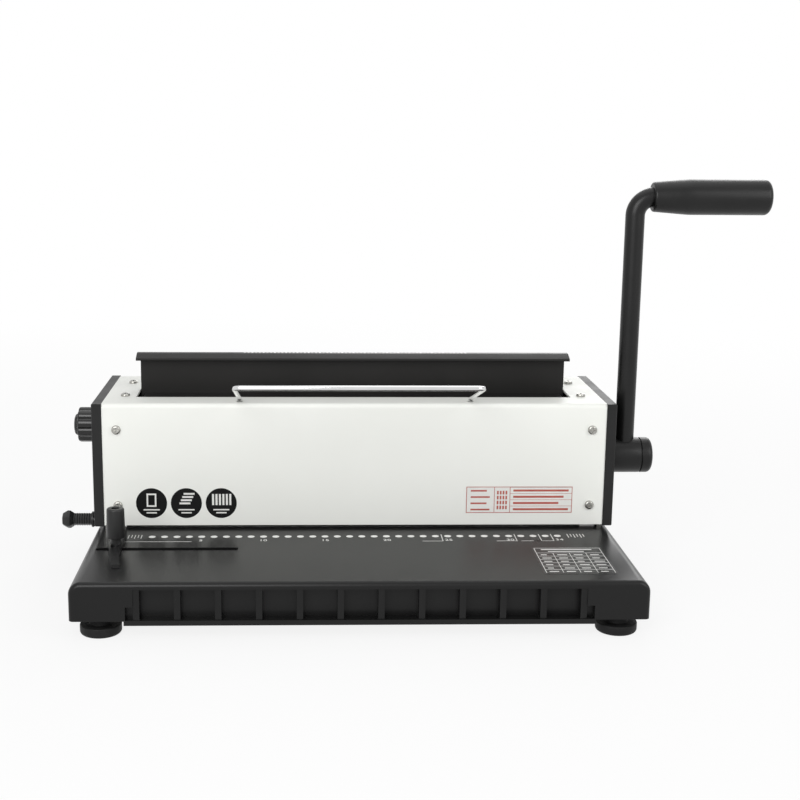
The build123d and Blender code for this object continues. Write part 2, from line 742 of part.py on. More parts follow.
def press_cam(side):
    points = cam_outline(cam_r0, stroke / lever_turn, lever_turn, -math.pi / 2, -1)
    tip = points[-1]
    # The back runs straight from the tip to the round part, then round to the flat under the shaft.
    reach = math.hypot(tip[1], tip[2])
    heading = math.atan2(tip[2], tip[1]) - math.acos(cam_r0 / reach)
    middle = (heading - math.pi / 2) / 2
    touch = (0, cam_r0 * math.cos(heading), cam_r0 * math.sin(heading))
    rear = (0, cam_r0 * math.cos(middle), cam_r0 * math.sin(middle))
    low = (0, 0, -cam_r0)
    back = Line(tip, touch) + ThreePointArc(touch, rear, low) + Line(low, points[0])
    cam = cam_plate(points, back, cam_x0, cam_x1)
    cam += rod_along_x(cam_hub_r, cam_x1, collar_x, 0, 0)
    cam -= rod_along_x(shaft_r + press_fit, cam_x0 - 1, collar_x + 1, 0, 0)
    cam -= rod_along_y(pin_r + press_fit, -12, 12, pin_x, 0)
    return mirrored(Pos(0, shaft_y, shaft_z) * cam, side)


def cam_pins():
    length = cam_hub_r - 0.4
    return [rod_along_y(pin_r, shaft_y - length, shaft_y + length, s * pin_x, shaft_z) for s in sides]


def lever_hub():
    hub = rod_along_x(hub_r, hub_x0, hub_x1, shaft_y, shaft_z)
    ends = hub.edges().group_by(Axis.X)
    hub = chamfer(ends[0] + ends[-1], 0.5)
    hub -= rod_along_x(shaft_r + press_fit, hub_x0 - 1, hub_x1 + 1, shaft_y, shaft_z)
    hub -= rod_along_z(rod_r + press_fit, shaft_z, shaft_z + hub_r + 1, rod_x, shaft_y)
    hub -= rod_along_z(2.5 + press_fit, shaft_z - hub_r - 1, shaft_z, hub_x0 + 6, shaft_y)
    return hub


def hub_grub_screw():
    top = shaft_z - shaft_r - 0.1
    low = shaft_z - hub_r + 0.6
    screw = rod_along_z(2.5, low, top, 0, 0)
    screw -= extrude(Pos(0, 0, low) * RegularPolygon(1.4, 6), amount=2.0)
    return Pos(hub_x0 + 6, shaft_y, 0) * screw


def hub_cap():
    x0 = hub_x1 + hub_groove
    cap = rod_along_x(hub_r, x0, x0 + hub_cap_t, shaft_y, shaft_z)
    cap = fillet(cap.edges().group_by(Axis.X)[-1], hub_cap_round)
    cap = fillet(cap.edges().group_by(Axis.X)[0], 0.4)
    return cap + rod_along_x(hub_r - 1.0, hub_x1, x0, shaft_y, shaft_z)


def lever_rod():
    start = (rod_x, shaft_y, shaft_z + shaft_r + 0.3)
    corner = (rod_x, shaft_y, grip_z)
    end = (grip_x1 - grip_end, shaft_y, grip_z)
    path = FilletPolyline(start, corner, end, radius=rod_bend_r)
    section = Plane(start, z_dir=(0, 0, 1)) * Circle(rod_r)
    return sweep(section, path=path)


def lever_grip():
    # Turned about its own length: a short taper, a straight body and a rounded end.
    length = grip_len
    body = Polyline((0, 0), (0, grip_r0), (grip_taper, grip_r1), (length, grip_r1), (length, 0), close=True)
    solid = revolve(make_face(body), axis=Axis.X)
    solid = fillet(solid.edges().group_by(Axis.X)[-1], grip_round)
    solid = fillet(solid.edges().group_by(Axis.X)[0], 1.2)
    solid -= rod_along_x(rod_r + press_fit, -1, length - grip_end + 0.2, 0, 0)
    solid -= rod_along_x(rod_r + grip_mouth_gap, -1, grip_mouth, 0, 0)
    return Pos(grip_x0, shaft_y, grip_z) * solid


# ---------------------------------------------------------------- anvil and its knob
def anvil_bar():
    bar = block(-anvil_half_w, anvil_half_w, spindle_y - anvil_web / 2, spindle_y + anvil_web / 2,
                anvil_z0, anvil_z1 - anvil_flange_t)
    bar += block(-anvil_half_w, anvil_half_w, anvil_front, anvil_rear, anvil_z1 - anvil_flange_t, anvil_z1)
    bar += both_ends(block(anvil_half_w, anvil_half_w + 3.4, spindle_y - tongue_half_w,
                           spindle_y + tongue_half_w, anvil_z0 + 2, anvil_z0 + 10))
    return bar


def gap_spindle():
    return rod_along_x(spindle_r, -cap_x - 0.6 - gap_knob_len + 2, frame_x1 - 0.2, spindle_y, spindle_z)


def gap_cam(side):
    x0 = side * gap_cam_x - gap_cam_t / 2
    points = cam_outline(gap_cam_r0, anvil_rise / gap_turn, gap_turn, math.pi / 2, -1)
    cam = cam_plate(points, Line(points[-1], points[0]), x0, x0 + gap_cam_t)
    cam -= rod_along_x(spindle_r + press_fit, x0 - 1, x0 + gap_cam_t + 1, 0, 0)
    return Pos(0, spindle_y, spindle_z) * cam


def gap_knob():
    x1 = -cap_x - 0.6
    x0 = x1 - gap_knob_len
    knob = rod_along_x(gap_knob_r, x0, x1, 0, 0)
    for i in range(gap_lobes):
        heading = 2 * math.pi * i / gap_lobes
        reach = gap_knob_r + 1.0
        knob -= rod_along_x(2.2, x0 - 1, x1 + 1, reach * math.cos(heading), reach * math.sin(heading))
    boss = rod_along_x(gap_boss_r, x0 - gap_boss_h, x0, 0, 0)
    knob += fillet(boss.edges().group_by(Axis.X)[0], gap_boss_h - 0.6)
    knob -= rod_along_x(spindle_r + press_fit, x0 + 2 - press_fit, x1 + 1, 0, 0)
    return Pos(0, spindle_y, spindle_z) * knob


# ---------------------------------------------------------------- margin rod
def margin_rod():
    rod = rod_along_x(margin_r, -plate_half_w + 0.3, plate_half_w - 1.4, margin_y, margin_z)
    flat_x = pad_x0 - 1.0
    rod -= block(-flat_x, flat_x, margin_y - 5, margin_y + 5, margin_z + margin_flat, margin_z + 5)
    neck_x = margin_x0 + margin_head_t + 3.0
    return rod + rod_along_x(margin_neck_r, neck_x, -plate_half_w + 1, margin_y, margin_z)


def margin_knob():
    x1 = margin_x0 + margin_knob_len
    head = rod_along_x(margin_head_r, margin_x0, margin_x0 + margin_head_t, 0, 0)
    ends = head.edges().group_by(Axis.X)
    head = fillet(ends[0] + ends[-1], 1.2)
    knob = head + rod_along_x(margin_shank_r, margin_x0 + margin_head_t, x1, 0, 0)
    knob += rod_along_x(margin_shank_r + 0.9, x1 - 1.5, x1, 0, 0)
    knob -= rod_along_x(margin_neck_r + press_fit, margin_x0 + margin_head_t + 3 - press_fit, x1 + 1, 0, 0)
    return Pos(0, margin_y, margin_z) * knob


# ---------------------------------------------------------------- edge guide
def guide_wall(x0, y0, x1, y1, height, thickness):
    # An upright wall that rises from the plate at its first end to the height at its second end.
    length = math.hypot(x1 - x0, y1 - y0)
    along = ((x1 - x0) / length, (y1 - y0) / length, 0)
    plane = Plane(origin=(x0, y0, slide_gap), x_dir=along, z_dir=(along[1], -along[0], 0))
    side_view = Polyline((0, 0), (length, 0), (length, height), (0, guide_plate_t), close=True)
    return extrude(plane * make_face(side_view), amount=thickness)


def edge_guide():
    neck_x = guide_fence_x - guide_neck_w
    outline = Polyline((guide_tip_x - guide_tongue_w / 2, guide_tongue_y),
                       (guide_tip_x + guide_tongue_w / 2, guide_tongue_y), (guide_fence_x, guide_neck_y),
                       (guide_fence_x, guide_fence_y), (guide_left_x, guide_left_y), (neck_x, guide_neck_y),
                       close=True)
    guide = Pos(0, 0, slide_gap) * extrude(make_face(outline), amount=guide_plate_t)
    guide += guide_wall(guide_fence_x, guide_neck_y, guide_fence_x, guide_fence_y, guide_wall_h, -guide_wall_t)
    guide += guide_wall(neck_x, guide_neck_y, guide_left_x, guide_left_y, guide_left_h, guide_wall_t)
    guide += rod_along_z(3.6, slide_gap, guide_knob_z0 - 0.3, guide_x, guide_y)
    return guide - rod_along_z(guide_screw_r + running_fit, -1, guide_knob_z0 + 1, guide_x, guide_y)


def guide_nut():
    top = -base_wall - slide_gap
    nut = block(-6, 6, -5, 5, top - 3, top)
    nut += block(-3, 3, -guide_slot_w / 2 + slide_gap, guide_slot_w / 2 - slide_gap, top, 0)
    nut -= rod_along_z(guide_screw_r + running_fit, top - 4, 1, 0, 0)
    return Pos(guide_x, guide_y, 0) * nut


def clamp_knob():
    knob = Pos(0, 0, guide_knob_z0) * Cone(guide_knob_r0, guide_knob_r1, guide_knob_z1 - guide_knob_z0,
                                           align=(Align.CENTER, Align.CENTER, Align.MIN))
    knob = fillet(knob.edges().group_by(Axis.Z)[-1], 1.0)
    knob -= rod_along_z(2.6, guide_knob_z1 - 3.0, guide_knob_z1 + 1, 0, 0)
    knob -= rod_along_z(guide_screw_r + press_fit, guide_knob_z0 - 1, guide_knob_z0 + 10, 0, 0)
    return Pos(guide_x, guide_y, 0) * knob


def clamp_screw():
    low = -base_wall - slide_gap - 4.5
    return rod_along_z(guide_screw_r, low, guide_knob_z0 + 9.9, guide_x, guide_y)


# ---------------------------------------------------------------- wire rack
def wire_rack():
    foot_z = sheet_z - rack_depth + 1.0
    stem_z = cover_top + rack_stem
    bar_z = cover_top + rack_bar_h
    points = [(-rack_x, rack_y, foot_z), (-rack_x, rack_y, stem_z), (-rack_x, rack_front_y, bar_z),
              (rack_x, rack_front_y, bar_z), (rack_x, rack_y, stem_z), (rack_x, rack_y, foot_z)]
    path = FilletPolyline(*points, radius=rack_bend_r)
    section = Plane(points[0], z_dir=(0, 0, 1)) * Circle(rack_wire_r)
    return sweep(section, path=path)


def place_screws(places, length):
    return [place * pan_screw(length) for place in places]


nodes = {
    "base_shell": base_shell(),
    "bottom_plate": bottom_plate(),
    "bottom_screws": group(plate_screws()),
    "foot_front_left": foot(*foot_places[0]),
    "foot_front_right": foot(*foot_places[1]),
    "foot_rear_left": foot(*foot_places[2]),
    "foot_rear_right": foot(*foot_places[3]),
    "foot_screws": group(foot_screws()),
    "chip_tray": chip_tray(),
    "frame_left": frame_side(-1),
    "frame_right": frame_side(1),
    "frame_screws": group(place_screws(frame_screw_places, frame_screw_len)),
    "tie_rods": group(tie_rods()),
    "shaft_bush_left": mirrored(shaft_bush(), -1),
    "shaft_bush_right": shaft_bush(),
    "spindle_bushes": both_ends(spindle_bush()),
    "anvil_bracket_left": mirrored(anvil_bracket(), -1),
    "anvil_bracket_right": anvil_bracket(),
    "front_cover": front_cover(),
    "rear_cover": rear_cover(),
    "end_cap_left": end_cap(-1),
    "end_cap_right": end_cap(1),
    "front_screws": group(place_screws(front_screw_places, front_screw_len)),
    "rear_screws": group(place_screws(rear_screw_places, rear_screw_len)),
    "top_screws": group(place_screws(top_screw_places(), top_screw_len)),
    "rack_socket_left": rack_socket(-1),
    "rack_socket_right": rack_socket(1),
    "die_plate": die_plate(),
    "die_spacers": die_spacers(),
    "stripper_plate": stripper_plate(),
    "die_bolts": group(die_bolts()),
    "guide_post_left": guide_post(-1),
    "guide_post_right": guide_post(1),
    "return_spring_left": return_spring(-1),
    "return_spring_right": return_spring(1),
    "punch_pins": group(punches()),
    "punch_holder": punch_holder(),
    "holder_screws": group(holder_screws()),
    "press_beam": press_beam(),
    "closing_jaw": jaw_plate(),
    "jaw_bolts": group(jaw_bolts()),
    "main_shaft": main_shaft(),
    "press_cam_left": press_cam(-1),
    "press_cam_right": press_cam(1),
    "cam_pins": group(cam_pins()),
    "lever_hub": lever_hub(),
    "hub_grub_screw": hub_grub_screw(),
    "hub_cap": hub_cap(),
    "lever_rod": lever_rod(),
    "lever_grip": lever_grip(),
    "anvil_bar": anvil_bar(),
    "gap_spindle": gap_spindle(),
    "gap_cams": group([gap_cam(-1), gap_cam(1)]),
    "gap_knob": gap_knob(),
    "margin_rod": margin_rod(),
    "margin_knob": margin_knob(),
    "edge_guide": edge_guide(),
    "guide_nut": guide_nut(),
    "clamp_knob": group([clamp_knob(), clamp_screw()]),
    "wire_rack": wire_rack(),
}

origin = (-(margin_x0 + grip_x1) / 2, -(tray_tab_y - table_depth) / 2, -floor_z)
os.makedirs("parts", exist_ok=True)
for name, shape in nodes.items():
    export_step(Pos(*origin) * shape, f"parts/{name}.step")
print("nodes", len(nodes), "moved by", origin)
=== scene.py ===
import bmesh
import bpy
import json
import math
import numpy as np
from mathutils import Matrix, Vector


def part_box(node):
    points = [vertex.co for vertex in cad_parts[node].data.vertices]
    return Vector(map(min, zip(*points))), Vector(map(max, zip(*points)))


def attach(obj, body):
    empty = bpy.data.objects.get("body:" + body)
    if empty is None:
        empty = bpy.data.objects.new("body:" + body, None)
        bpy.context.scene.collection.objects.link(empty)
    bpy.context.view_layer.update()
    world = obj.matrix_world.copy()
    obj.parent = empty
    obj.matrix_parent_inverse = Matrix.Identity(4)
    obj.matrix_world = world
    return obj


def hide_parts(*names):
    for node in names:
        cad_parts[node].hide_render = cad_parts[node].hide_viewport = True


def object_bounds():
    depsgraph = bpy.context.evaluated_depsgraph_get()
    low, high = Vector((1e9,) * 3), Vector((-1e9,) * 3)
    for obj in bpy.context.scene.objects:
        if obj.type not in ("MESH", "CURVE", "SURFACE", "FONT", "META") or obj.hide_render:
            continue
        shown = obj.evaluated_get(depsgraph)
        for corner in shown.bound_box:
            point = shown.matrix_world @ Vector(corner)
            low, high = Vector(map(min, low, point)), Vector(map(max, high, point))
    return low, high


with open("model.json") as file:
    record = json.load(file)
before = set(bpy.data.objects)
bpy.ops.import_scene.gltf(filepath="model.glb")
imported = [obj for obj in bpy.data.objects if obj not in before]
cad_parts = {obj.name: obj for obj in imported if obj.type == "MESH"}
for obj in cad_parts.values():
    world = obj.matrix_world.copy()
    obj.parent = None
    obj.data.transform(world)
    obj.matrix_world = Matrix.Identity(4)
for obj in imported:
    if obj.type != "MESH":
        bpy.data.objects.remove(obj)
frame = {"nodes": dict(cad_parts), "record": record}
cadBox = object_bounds()
mm = 0.001

coverLow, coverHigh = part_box("front_cover")
baseLow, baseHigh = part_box("base_shell")
panelMiddle = np.array([(coverLow.x + coverHigh.x) / 2, coverLow.y, baseHigh.z])  # on the panel, at table height


def onPanel(x, y, z):  # millimetres from the panel's middle at table height, to the frame's metres
    return panelMiddle + np.array([x, y, z]) * mm


# ---- meshes
def meshPiece(name, points, faces, smoothAngle=35):
    mesh = bpy.data.meshes.new(name)
    mesh.from_pydata(np.asarray(points, float).reshape(-1, 3).tolist(), [], [list(f) for f in faces])
    mesh.validate()
    mesh.update()
    mesh.polygons.foreach_set("use_smooth", np.ones(len(mesh.polygons), bool))
    mesh.set_sharp_from_angle(angle=math.radians(smoothAngle))
    piece = bpy.data.objects.new(name, mesh)
    bpy.context.collection.objects.link(piece)
    return piece


def ringFaces(rings, around):  # quads between rings of points that follow each other, and a flat cap at each end
    i = np.arange(rings - 1)[:, None] * around
    j = np.arange(around)[None, :]
    beside = (j + 1) % around
    quads = np.stack([i + around + j, i + around + beside, i + beside, i + j], -1).reshape(-1, 4)
    last = (rings - 1) * around
    return [*quads.tolist(), list(range(around)), list(range(last + around - 1, last - 1, -1))]


def roundedOutline(corners, radii, steps=6):
    # Each corner becomes an arc: its centre is radius / sin(half angle) along the corner's bisector.
    corners = np.asarray(corners, float)
    out = []
    for k, (corner, radius) in enumerate(zip(corners, radii)):
        if radius <= 0:
            out.append(corner[None, :])
            continue
        a = corners[k - 1] - corner
        b = corners[(k + 1) % len(corners)] - corner
        a, b = a / np.linalg.norm(a), b / np.linalg.norm(b)
        half = math.acos(np.clip(a @ b, -1, 1)) / 2
        bisector = (a + b) / np.linalg.norm(a + b)
        centre = corner + bisector * radius / math.sin(half)
        start = corner + a * radius / math.tan(half) - centre
        end = corner + b * radius / math.tan(half) - centre
        turn = math.acos(np.clip(start @ end / radius**2, -1, 1))
        t = np.linspace(0, 1, steps + 1)[:, None]
        out.append(centre + (np.sin((1 - t) * turn) * start + np.sin(t * turn) * end) / math.sin(turn))
    return np.vstack(out)


def turned(name, outline, centre, axis, across, around=64, lobes=None):
    # point = centre + along * axis + radius * (cos v * across + sin v * third), the outline giving (along, radius).
    outline = np.asarray(outline, float)
    axis, across = np.array(axis, float), np.array(across, float)
    third = np.cross(axis, across)
    v = np.linspace(0, 2 * math.pi, around, endpoint=False)
    reach = np.ones((len(outline), around)) if lobes is None else lobes(outline, v)
    ring = np.cos(v)[None, :, None] * across + np.sin(v)[None, :, None] * third
    points = outline[:, 0][:, None, None] * axis + (outline[:, 1][:, None] * reach)[:, :, None] * ring
    points = centre + points * mm
    return meshPiece(name, points, ringFaces(len(outline), around))


def bentPath(corners, bend, spacing=1.2):
    # Straight runs joined by arcs of one radius, as points in order.
    corners = np.asarray(corners, float)
    radii = [0] + [bend] * (len(corners) - 2) + [0]
    steps = max(6, int(bend / spacing * 1.6))
    return roundedOutline(corners, radii, steps)


def tube(name, path, radius, around=32):
    # Rings square to the path's direction t: p + radius * (cos v * n + sin v * b), n = w x t and b = t x n.
    path = np.asarray(path, float)
    t = np.gradient(path, axis=0)
    t /= np.linalg.norm(t, axis=1)[:, None]
    w = np.array([0.42, 0.81, 0.41])
    n = np.cross(w, t)
    n /= np.linalg.norm(n, axis=1)[:, None]
    b = np.cross(t, n)
    v = np.linspace(0, 2 * math.pi, around, endpoint=False)
    ring = np.cos(v)[None, :, None] * n[:, None, :] + np.sin(v)[None, :, None] * b[:, None, :]
    points = path[:, None, :] + radius * ring
    return meshPiece(name, points, ringFaces(len(path), around))


def bevelEdges(piece, width, angle=32):
    bevel = piece.modifiers.new("edges", "BEVEL")
    bevel.width = width * mm
    bevel.segments = 2
    bevel.limit_method = "ANGLE"
    bevel.angle_limit = math.radians(angle)


def fromFrame(node, name, edge=0.25, smoothAngle=32):
    # A merged copy of a frame node's mesh, with its flat faces joined up and its edges broken.
    work = bmesh.new()
    work.from_mesh(frame["nodes"][node].data)
    bmesh.ops.remove_doubles(work, verts=work.verts, dist=2e-6)
    bmesh.ops.dissolve_limit(work, angle_limit=math.radians(0.4), verts=work.verts, edges=work.edges)
    mesh = bpy.data.meshes.new(name)
    work.to_mesh(mesh)
    work.free()
    mesh.polygons.foreach_set("use_smooth", np.ones(len(mesh.polygons), bool))
    mesh.set_sharp_from_angle(angle=math.radians(smoothAngle))
    mesh.materials.clear()
    piece = bpy.data.objects.new(name, mesh)
    bpy.context.collection.objects.link(piece)
    if edge:
        bevelEdges(piece, edge)
    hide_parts(node)
    return piece


def finished(piece, material, body, slot=None, *nodes):
    piece.data.materials.clear()
    piece.data.materials.append(material)
    if nodes:
        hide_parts(*nodes)
    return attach(piece, body)


# ---- materials
def startMaterial(name):
    material = bpy.data.materials.new(name)
    material.use_nodes = True
    tree = material.node_tree
    shader = tree.nodes["Principled BSDF"]
    place = tree.nodes.new("ShaderNodeTexCoord").outputs["Object"]
    return material, tree, shader, place


def noiseOn(tree, place, scale, detail=3.0, rough=0.5, stretch=None):
    noise = tree.nodes.new("ShaderNodeTexNoise")
    noise.inputs["Scale"].default_value = scale
    noise.inputs["Detail"].default_value = detail
    noise.inputs["Roughness"].default_value = rough
    if stretch:
        mapping = tree.nodes.new("ShaderNodeMapping")
        mapping.inputs["Scale"].default_value = stretch
        tree.links.new(place, mapping.inputs["Vector"])
        place = mapping.outputs["Vector"]
    tree.links.new(place, noise.inputs["Vector"])
    return noise.outputs["Fac"]


def spread(tree, value, low, high, fromLow=0.3, fromHigh=0.7):  # a 0 to 1 noise becomes low to high
    scale = tree.nodes.new("ShaderNodeMapRange")
    for socket, number in zip(("From Min", "From Max", "To Min", "To Max"), (fromLow, fromHigh, low, high)):
        scale.inputs[socket].default_value = number
    tree.links.new(value, scale.inputs["Value"])
    return scale.outputs["Result"]


def tinted(tree, value, colourA, colourB):
    ramp = tree.nodes.new("ShaderNodeValToRGB")
    ramp.color_ramp.elements[0].position, ramp.color_ramp.elements[1].position = 0.35, 0.65
    ramp.color_ramp.elements[0].color = (*colourA, 1)
    ramp.color_ramp.elements[1].color = (*colourB, 1)
    tree.links.new(value, ramp.inputs["Fac"])
    return ramp.outputs["Color"]


def raised(tree, shader, value, strength, distance):
    bump = tree.nodes.new("ShaderNodeBump")
    bump.inputs["Strength"].default_value = strength
    bump.inputs["Distance"].default_value = distance * mm
    tree.links.new(value, bump.inputs["Height"])
    tree.links.new(bump.outputs["Normal"], shader.inputs["Normal"])


def surface(name, look):
    # look: colour pair, roughness range, patch and smear sizes in mm, grain as (size in mm, strength, depth in mm)
    material, tree, shader, place = startMaterial(name)
    patches = noiseOn(tree, place, 1 / (look["patch"] * mm), 4.0)
    tree.links.new(tinted(tree, patches, *look["colours"]), shader.inputs["Base Color"])
    smears = noiseOn(tree, place, 1 / (look["smear"] * mm), 5.0, 0.6, look.get("stretch"))
    tree.links.new(spread(tree, smears, *look["rough"]), shader.inputs["Roughness"])
    size, strength, depth = look["grain"]
    grain = noiseOn(tree, place, 1 / (size * mm), 2.0, 0.5, look.get("stretch"))
    raised(tree, shader, grain, strength, depth)
    shader.inputs["Metallic"].default_value = look.get("metal", 0.0)
    shader.inputs["IOR"].default_value = 1.45
    shader.inputs["Specular IOR Level"].default_value = look.get("specular", 0.5)
    return material


def grey(level, warm=0.0):  # a screen level of 0 to 255 as a linear colour, a little warm or cool
    v = (level / 255) ** 2.2
    return (v * (1 + warm), v, v * (1 - warm))


looks = {
    "whitePaint": {"colours": ((0.845, 0.855, 0.812), (0.865, 0.874, 0.835)), "rough": (0.38, 0.47), "patch": 90,
                   "smear": 30, "grain": (0.9, 0.12, 0.05), "specular": 0.3},
    "capPlastic": {"colours": (grey(36), grey(41)), "rough": (0.4, 0.5), "patch": 40, "smear": 20,
                   "grain": (0.6, 0.25, 0.04), "specular": 0.22},
    "baseTop": {"colours": (grey(26), grey(28)), "rough": (0.29, 0.31), "patch": 90, "smear": 90,
                "grain": (0.7, 0.05, 0.01), "specular": 0.26},
    "jawPaint": {"colours": (grey(36, 0.04), grey(40, 0.04)), "rough": (0.36, 0.46), "patch": 60, "smear": 25,
                 "grain": (0.7, 0.12, 0.03), "specular": 0.2},
    "leverPaint": {"colours": (grey(20), grey(24)), "rough": (0.28, 0.38), "patch": 40, "smear": 18,
                   "grain": (0.8, 0.08, 0.02), "specular": 0.34},
    "gripRubber": {"colours": (grey(20), grey(24)), "rough": (0.3, 0.4), "patch": 25, "smear": 12,
                   "grain": (0.45, 0.2, 0.03), "specular": 0.36},
    "knobGloss": {"colours": (grey(24), grey(28)), "rough": (0.12, 0.2), "patch": 12, "smear": 8,
                  "grain": (0.8, 0.05, 0.02), "specular": 0.5},
    "softBlack": {"colours": (grey(34), grey(38)), "rough": (0.3, 0.42), "patch": 12, "smear": 8,
                  "grain": (0.6, 0.12, 0.02), "specular": 0.4},
    "footRubber": {"colours": (grey(30), grey(36)), "rough": (0.5, 0.62), "patch": 9, "smear": 6,
                   "grain": (0.4, 0.4, 0.05), "specular": 0.2},
    "trayPlastic": {"colours": (grey(34), grey(38)), "rough": (0.42, 0.52), "patch": 40, "smear": 20,
                    "grain": (0.5, 0.25, 0.04), "specular": 0.25},
    "zincPlate": {"colours": ((0.34, 0.34, 0.32), (0.44, 0.43, 0.40)), "rough": (0.16, 0.28), "patch": 3,
                  "smear": 4, "grain": (0.3, 0.15, 0.01), "metal": 1.0},
    "groundSteel": {"colours": ((0.46, 0.46, 0.46), (0.53, 0.53, 0.52)), "rough": (0.26, 0.4), "patch": 8,
                    "smear": 3, "grain": (0.5, 0.2, 0.01), "metal": 1.0, "stretch": (0.1, 1, 1)},
    "chromeWire": {"colours": ((0.62, 0.62, 0.62), (0.70, 0.70, 0.70)), "rough": (0.05, 0.1), "patch": 30,
                   "smear": 12, "grain": (1.5, 0.05, 0.01), "metal": 1.0},
    "bronze": {"colours": ((0.42, 0.27, 0.12), (0.5, 0.33, 0.15)), "rough": (0.35, 0.5), "patch": 4,
               "smear": 3, "grain": (0.3, 0.3, 0.02), "metal": 1.0},
    "whiteInk": {"colours": ((0.80, 0.80, 0.78), (0.86, 0.86, 0.84)), "rough": (0.45, 0.55), "patch": 5,
                 "smear": 5, "grain": (0.4, 0.1, 0.01)},
    # black print for the badges, also used as painted shade along the guide slot
    "blackInkAndShade": {"colours": (grey(16), grey(22)), "rough": (0.42, 0.52), "patch": 6, "smear": 5,
                 "grain": (0.4, 0.1, 0.01), "specular": 0.2},
    "redInk": {"colours": ((0.42, 0.09, 0.07), (0.48, 0.12, 0.09)), "rough": (0.42, 0.52), "patch": 6, "smear": 5,
               "grain": (0.4, 0.1, 0.01)},
    "labelFilm": {"colours": ((0.78, 0.78, 0.75), (0.82, 0.82, 0.79)), "rough": (0.3, 0.38), "patch": 20,
                  "smear": 10, "grain": (0.8, 0.06, 0.01)},
    "darkFilm": {"colours": (grey(38), grey(46)), "rough": (0.26, 0.34), "patch": 20, "smear": 10,
                 "grain": (0.8, 0.06, 0.01), "specular": 0.28},
}
materials = {name: surface(name, look) for name, look in looks.items()}
print("materials", len(materials))


# ---- covers and base
def makeShells():
    plan = [  # node, piece, width of its broken edges in mm, material, slot
        ("base_shell", "base", 0.35, "baseTop", "base_black"),
        ("front_cover", "coverSheet", 0.3, "whitePaint", "white_paint"),
        ("rear_cover", "rearSheet", 0.3, "whitePaint", "white_paint"),
        ("end_cap_left", "endCapLeft", 0, "capPlastic", "cap_black"),
        ("end_cap_right", "endCapRight", 0, "capPlastic", "cap_black"),
        ("chip_tray", "chipDrawer", 0.3, "trayPlastic", "tray_black"),
        ("bottom_plate", "underPlate", 0.2, "zincPlate", "steel"),
        ("anvil_bar", "anvilBar", 0.4, "jawPaint", "jaw_black"),
        ("closing_jaw", "closingJaw", 0.2, "jawPaint", "jaw_black"),
        ("edge_guide", "edgeGuide", 0.3, "softBlack", "lever_black")]
    bodies = frame["record"]["behaviour"]["bodies"]
    bodyOf = {node: body for body, nodes in bodies.items() for node in nodes}
    for node, name, edge, look, slot in plan:
        finished(fromFrame(node, name, edge), materials[look], bodyOf[node], slot)
    print("shells", len(plan))


# ---- lever
lever = {"rodR": 6.7, "bend": 13.0, "gripInnerR": 10.25, "gripOuterR": 12.3, "gripTaper": 25.0,
         "gripMouthRound": 1.6, "gripTaperRound": 60, "gripEndRound": 4.0, "shaftHoleR": 7.1, "hubRound": 0.6,
         "capHeadT": 7.9, "capNeckIn": 1.0, "capRound": 3.5}


def makeLever():
    low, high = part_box("lever_rod")
    gripLow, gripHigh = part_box("lever_grip")
    hubLow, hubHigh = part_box("lever_hub")
    capLow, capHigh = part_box("hub_cap")
    axisY, rodX, gripZ = (low.y + high.y) / 2, low.x + lever["rodR"] * mm, (gripLow.z + gripHigh.z) / 2
    corners = [(rodX, axisY, low.z), (rodX, axisY, gripZ), (high.x, axisY, gripZ)]
    rod = tube("leverRod", bentPath(corners, lever["bend"] * mm, mm), lever["rodR"] * mm, 40)
    finished(rod, materials["leverPaint"], "lever", "lever_black", "lever_rod")

    length = (gripHigh.x - gripLow.x) / mm
    inner, outer, taper = lever["gripInnerR"], lever["gripOuterR"], lever["gripTaper"]
    corners = [(0, lever["rodR"] + 0.05), (0, inner), (taper, outer), (length, outer), (length, 0.01)]
    rounds = [0, lever["gripMouthRound"], lever["gripTaperRound"], lever["gripEndRound"], 0]
    outline = roundedOutline(corners, rounds, 8)
    grip = turned("leverGrip", outline, np.array([gripLow.x, axisY, gripZ]), (1, 0, 0), (0, 1, 0), 72)
    finished(grip, materials["gripRubber"], "lever", "grip_black", "lever_grip")

    axisZ, hubR = (hubLow.z + hubHigh.z) / 2, (hubHigh.z - hubLow.z) / 2 / mm
    length = (hubHigh.x - hubLow.x) / mm
    holeR, edge = lever["shaftHoleR"], lever["hubRound"]
    outline = roundedOutline([(0, holeR), (0, hubR), (length, hubR), (length, holeR)], [0, edge, edge, 0], 4)
    hub = turned("leverHub", outline, np.array([hubLow.x, axisY, axisZ]), (1, 0, 0), (0, 1, 0), 72)
    finished(hub, materials["leverPaint"], "lever", "lever_black", "lever_hub")

    length = (capHigh.x - capLow.x) / mm
    groove, neckR = length - lever["capHeadT"], hubR - lever["capNeckIn"]
    corners = [(0, 0.01), (0, neckR), (groove, neckR), (groove, hubR), (length, hubR), (length, 0.01)]
    outline = roundedOutline(corners, [0, 0, 0, 0.4, lever["capRound"], 0], 8)
    cap = turned("hubCap", outline, np.array([capLow.x, axisY, axisZ]), (1, 0, 0), (0, 1, 0), 72)
    finished(cap, materials["leverPaint"], "lever", "lever_black", "hub_cap")
    print("lever")


# ---- knobs
gapKnob = {"r": 12.6, "lobes": 10, "depth": 0.13, "bossR": 8.0, "bossH": 3.0, "spindleHoleR": 4.1,
           "lobesFromR": 4.5, "lobesFullIn": 6.0}
marginKnob = {"faceR": 4.4, "headR": 6.5, "headFrom": 3.6, "headTo": 5.4, "neckAt": 8.2, "shankR": 4.65,
              "ridge": 1.7, "ridgeDepth": 0.16, "flangeR": 5.55, "flangeT": 1.5, "rodHoleR": 2.05, "flatShare": 0.8}
clampKnob = {"topR": 5.8, "footR": 6.3, "holeR": 2.6, "holeDepth": 3.0, "height": 20.0, "screwR": 2.0,
             "screwLength": 15.5}


